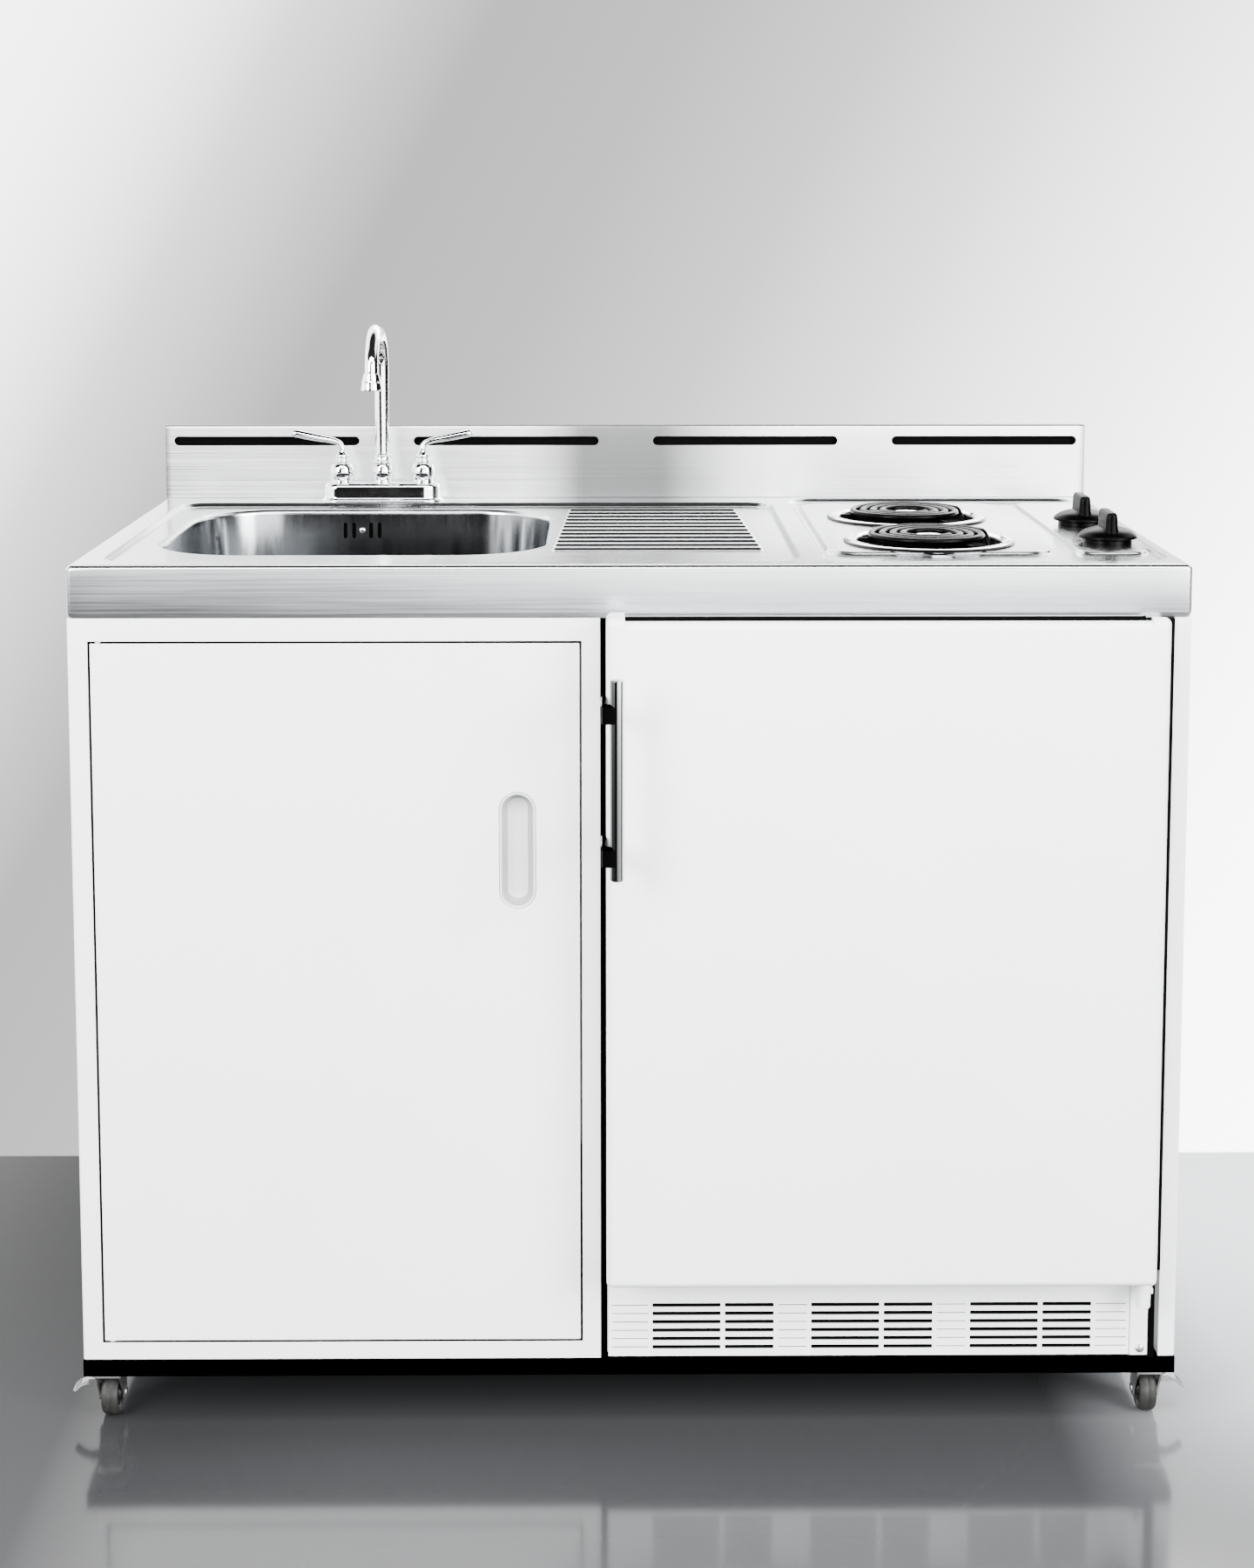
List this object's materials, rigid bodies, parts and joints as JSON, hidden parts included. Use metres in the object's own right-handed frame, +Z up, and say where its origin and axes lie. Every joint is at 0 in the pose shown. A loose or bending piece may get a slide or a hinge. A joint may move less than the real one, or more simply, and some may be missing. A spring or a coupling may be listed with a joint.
{
  "type": "kitchenette unit with sink and hob",
  "caption": "Compact kitchenette: white sink cabinet and built-in refrigerator under a pressed steel worktop with bowl, drainer, coil hob and faucet, on swivel casters.",
  "frame": {"origin": "on the floor, under the middle of the whole unit's bounding box", "axes": "+X to the user's right along the worktop, +Y from the doors to the wall, +Z up"},
  "size_m": [1.259, 0.7426, 1.216],
  "materials": {
    "steel": "brushed stainless sheet",
    "chrome": "polished chrome plate",
    "zinc": "bright zinc plate",
    "cabinet_white": "satin white face on board",
    "black_board": "black edged board",
    "fridge_white": "white lacquered skin over foam",
    "liner_white": "moulded white",
    "clear_plastic": "clear moulding",
    "gasket": "soft grey seal",
    "black_plastic": "black moulding",
    "coil_black": "matt black heating tube",
    "compressor_black": "black painted shell",
    "galvanised": "galvanised sheet",
    "waste_plastic": "white waste pipe",
    "tread": "grey tread"
  },
  "bodies": {
    "unit": {"countertop": "steel", "backsplash": "steel", "sink_bowl": "steel", "faucet_base": "chrome", "drip_pan_front": "chrome", "drip_pan_rear": "chrome", "strainer_body": "chrome", "shank_left": "zinc", "shank_right": "zinc", "hinge_upper": "zinc", "face_frame": "cabinet_white", "side_panel_left": "cabinet_white", "divider_panel": "cabinet_white", "side_panel_right": "cabinet_white", "sink_bay_back": "cabinet_white", "fridge_bay_rear_rail": "cabinet_white", "base_platform": "black_board", "fridge_cabinet": "fridge_white", "kick_grille": "fridge_white", "hinge_lower": "fridge_white", "freezer_flap": "liner_white", "wire_shelf": "liner_white", "crisper_shelf": "clear_plastic", "crisper_drawer": "clear_plastic", "switch_front": "black_plastic", "switch_rear": "black_plastic", "coil_front": "coil_black", "coil_rear": "coil_black", "compressor": "compressor_black", "hob_box": "galvanised", "freezer_box": "galvanised", "p_trap": "waste_plastic", "overflow_duct": "waste_plastic"},
    "sink_door": {"sink_door": "cabinet_white", "pull_cup": "cabinet_white"},
    "fridge_door": {"fridge_door": "fridge_white", "door_gasket": "gasket", "door_liner": "liner_white", "handle_bar": "chrome", "handle_bracket_upper": "black_plastic", "handle_bracket_lower": "black_plastic"},
    "spout": {"spout": "chrome", "aerator": "chrome"},
    "lever_left": {"lever_left": "chrome"},
    "lever_right": {"lever_right": "chrome"},
    "switch_shaft_front": {"switch_shaft_front": "zinc"},
    "switch_shaft_rear": {"switch_shaft_rear": "zinc"},
    "knob_front": {"knob_front": "black_plastic"},
    "knob_rear": {"knob_rear": "black_plastic"},
    "strainer_basket": {"strainer_basket": "steel"},
    "caster_fork_front_left": {"caster_fork_front_left": "zinc"},
    "caster_wheel_front_left": {"caster_wheel_front_left": "tread"},
    "caster_brake_front_left": {"caster_brake_front_left": "black_plastic"},
    "caster_fork_front_right": {"caster_fork_front_right": "zinc"},
    "caster_wheel_front_right": {"caster_wheel_front_right": "tread"},
    "caster_brake_front_right": {"caster_brake_front_right": "black_plastic"},
    "caster_fork_rear_left": {"caster_fork_rear_left": "zinc"},
    "caster_wheel_rear_left": {"caster_wheel_rear_left": "tread"},
    "caster_fork_rear_right": {"caster_fork_rear_right": "zinc"},
    "caster_wheel_rear_right": {"caster_wheel_rear_right": "tread"}
  },
  "joints": [
    {"name": "sink_door_hinge", "type": "hinge", "parent": "unit", "child": "sink_door", "pos_m": [-0.577, -0.25675, 0.502], "axis": [0, 0, -1], "range_deg": [0, 110]},
    {"name": "fridge_door_hinge", "type": "hinge", "parent": "unit", "child": "fridge_door", "pos_m": [0.566, -0.29075, 0.56], "axis": [0, 0, 1], "range_deg": [0, 110]},
    {"name": "spout_swivel", "type": "hinge", "parent": "unit", "child": "spout", "pos_m": [-0.32, 0.32325, 1.02], "axis": [0, 0, 1], "range_deg": [-90, 90]},
    {"name": "lever_left_turn", "type": "hinge", "parent": "unit", "child": "lever_left", "pos_m": [-0.373, 0.32325, 1.035], "axis": [0, 0, 1], "range_deg": [0, 90]},
    {"name": "lever_right_turn", "type": "hinge", "parent": "unit", "child": "lever_right", "pos_m": [-0.267, 0.32325, 1.035], "axis": [0, 0, 1], "range_deg": [-90, 0]},
    {"name": "strainer_basket_lift", "type": "slide", "parent": "unit", "child": "strainer_basket", "axis": [0, 0, 1], "range_m": [0, 0.012]},
    {"name": "knob_front_turn", "type": "hinge", "parent": "unit", "child": "switch_shaft_front", "pos_m": [0.552, -0.08775, 0.99], "axis": [0, 0, 1], "continuous": true},
    {"name": "knob_front_push", "type": "slide", "parent": "switch_shaft_front", "child": "knob_front", "axis": [0, 0, -1], "range_m": [0, 0.003], "stiffness_N_per_m": 400, "springref_m": -0.003},
    {"name": "knob_rear_turn", "type": "hinge", "parent": "unit", "child": "switch_shaft_rear", "pos_m": [0.552, 0.07025, 0.99], "axis": [0, 0, 1], "continuous": true},
    {"name": "knob_rear_push", "type": "slide", "parent": "switch_shaft_rear", "child": "knob_rear", "axis": [0, 0, -1], "range_m": [0, 0.003], "stiffness_N_per_m": 400, "springref_m": -0.003},
    {"name": "caster_swivel_front_left", "type": "hinge", "parent": "unit", "child": "caster_fork_front_left", "pos_m": [-0.588, -0.22375, 0.06], "axis": [0, 0, 1], "continuous": true},
    {"name": "caster_wheel_spin_front_left", "type": "hinge", "parent": "caster_fork_front_left", "child": "caster_wheel_front_left", "pos_m": [-0.588, -0.20975, 0.025], "axis": [1, 0, 0], "continuous": true},
    {"name": "caster_brake_front_left_lift", "type": "hinge", "parent": "caster_fork_front_left", "child": "caster_brake_front_left", "pos_m": [-0.6075, -0.22375, 0.047], "axis": [0, 1, 0], "range_deg": [0, 25]},
    {"name": "caster_swivel_front_right", "type": "hinge", "parent": "unit", "child": "caster_fork_front_right", "pos_m": [0.588, -0.22375, 0.06], "axis": [0, 0, 1], "continuous": true},
    {"name": "caster_wheel_spin_front_right", "type": "hinge", "parent": "caster_fork_front_right", "child": "caster_wheel_front_right", "pos_m": [0.588, -0.20975, 0.025], "axis": [1, 0, 0], "continuous": true},
    {"name": "caster_brake_front_right_lift", "type": "hinge", "parent": "caster_fork_front_right", "child": "caster_brake_front_right", "pos_m": [0.6075, -0.22375, 0.047], "axis": [0, -1, 0], "range_deg": [0, 25]},
    {"name": "caster_swivel_rear_left", "type": "hinge", "parent": "unit", "child": "caster_fork_rear_left", "pos_m": [-0.588, 0.32925, 0.06], "axis": [0, 0, 1], "continuous": true},
    {"name": "caster_wheel_spin_rear_left", "type": "hinge", "parent": "caster_fork_rear_left", "child": "caster_wheel_rear_left", "pos_m": [-0.588, 0.34325, 0.025], "axis": [1, 0, 0], "continuous": true},
    {"name": "caster_swivel_rear_right", "type": "hinge", "parent": "unit", "child": "caster_fork_rear_right", "pos_m": [0.588, 0.32925, 0.06], "axis": [0, 0, 1], "continuous": true},
    {"name": "caster_wheel_spin_rear_right", "type": "hinge", "parent": "caster_fork_rear_right", "child": "caster_wheel_rear_right", "pos_m": [0.588, 0.34325, 0.025], "axis": [1, 0, 0], "continuous": true}
  ]
}
